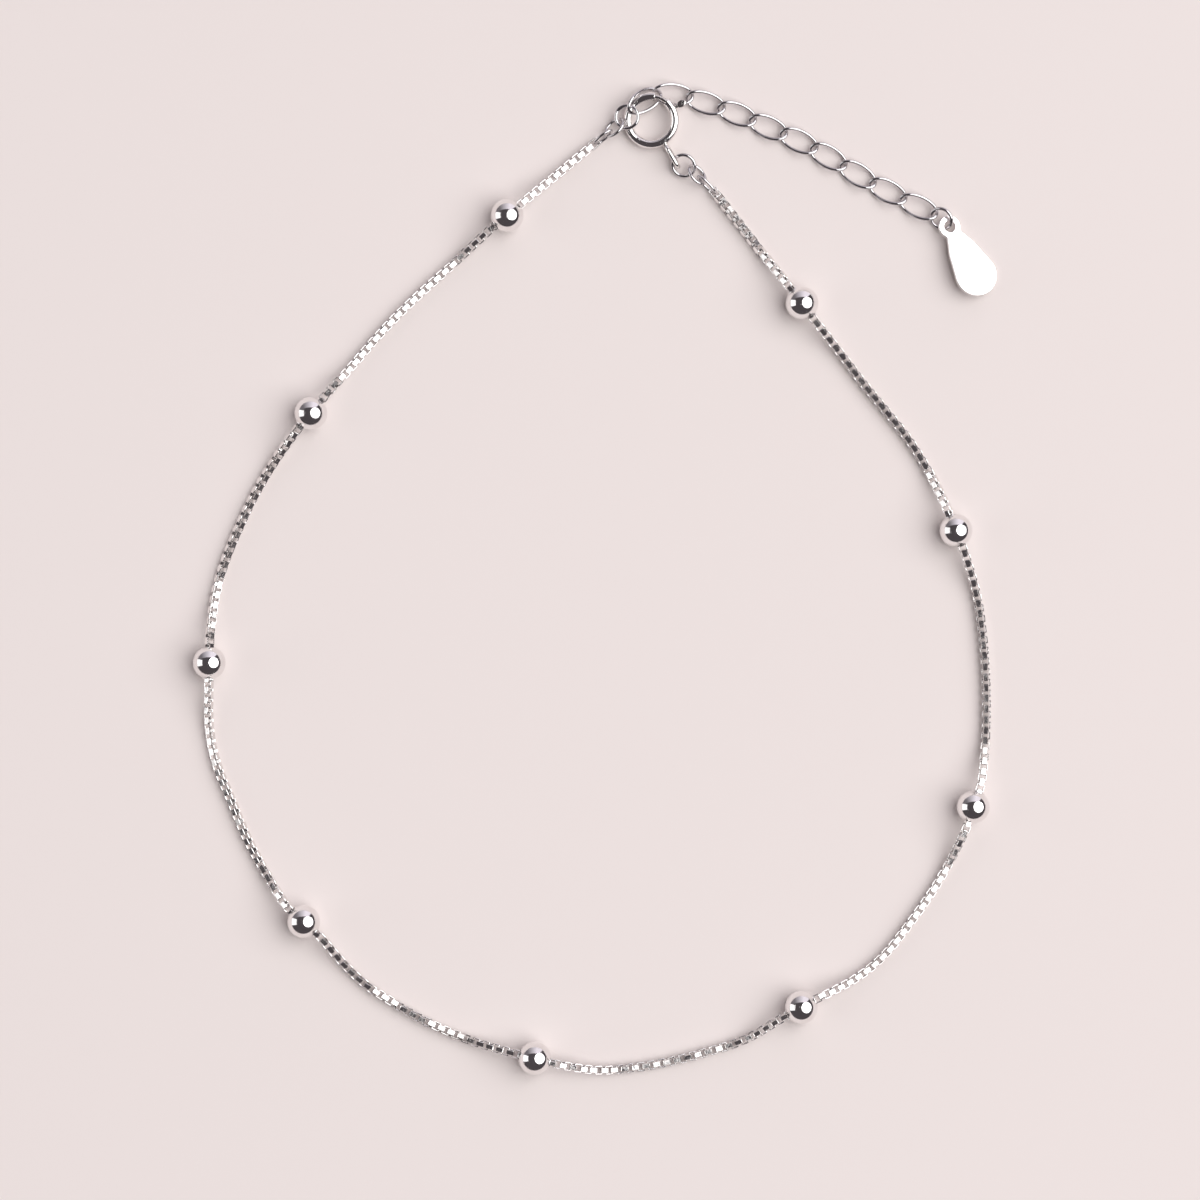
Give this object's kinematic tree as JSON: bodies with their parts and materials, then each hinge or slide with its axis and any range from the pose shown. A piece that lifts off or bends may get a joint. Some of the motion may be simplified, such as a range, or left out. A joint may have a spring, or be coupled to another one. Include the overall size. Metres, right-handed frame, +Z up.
{
  "type": "beaded anklet",
  "caption": "Silver anklet of polished round beads on a box chain, with a spring-ring clasp, an oval-link extender and a blank teardrop tag, lying loose in an open loop.",
  "frame": {"origin": "middle of the anklet's outline as it lies, on the surface that it lies on", "axes": "+Z up off the surface, +Y along the longest way of the loop towards the clasp, +X to the side that the extender and its tag lie on"},
  "size_m": [0.073, 0.0903, 0.003],
  "materials": {
    "bead": "mirror-polished silver ball",
    "box_chain": "bright folded silver strip",
    "extender": "tumble-polished silver wire",
    "ring": "tumble-polished silver wire",
    "clasp": "polished silver tube and wire",
    "tag": "mirror-polished blank silver plate"
  },
  "bodies": {
    "anklet": {"bead_1": "bead", "bead_2": "bead", "bead_3": "bead", "bead_4": "bead", "bead_5": "bead", "bead_6": "bead", "bead_7": "bead", "bead_8": "bead", "bead_9": "bead", "box_chain_left": "box_chain", "box_chain_right": "box_chain", "clasp_body": "clasp", "end_link_left": "ring", "end_link_right": "ring", "end_ring_left": "ring", "end_ring_right": "ring", "extender_link_01": "extender", "extender_link_02": "extender", "extender_link_03": "extender", "extender_link_04": "extender", "extender_link_05": "extender", "extender_link_06": "extender", "extender_link_07": "extender", "extender_link_08": "extender", "extender_link_09": "extender", "extender_link_10": "extender", "jump_ring_clasp": "ring", "jump_ring_left": "ring", "jump_ring_tag": "ring", "teardrop_tag": "tag"},
    "bolt": {"clasp_bolt": "clasp"}
  },
  "joints": [
    {"name": "bolt_slide", "type": "hinge", "parent": "anklet", "child": "bolt", "pos_m": [0.00499, 0.04174, 0.00088], "axis": [-0.1216, -0.0698, 0.9901], "range_deg": [-38, 0], "stiffness_Nm_per_rad": 0.0002, "springref_deg": 2.86}
  ]
}
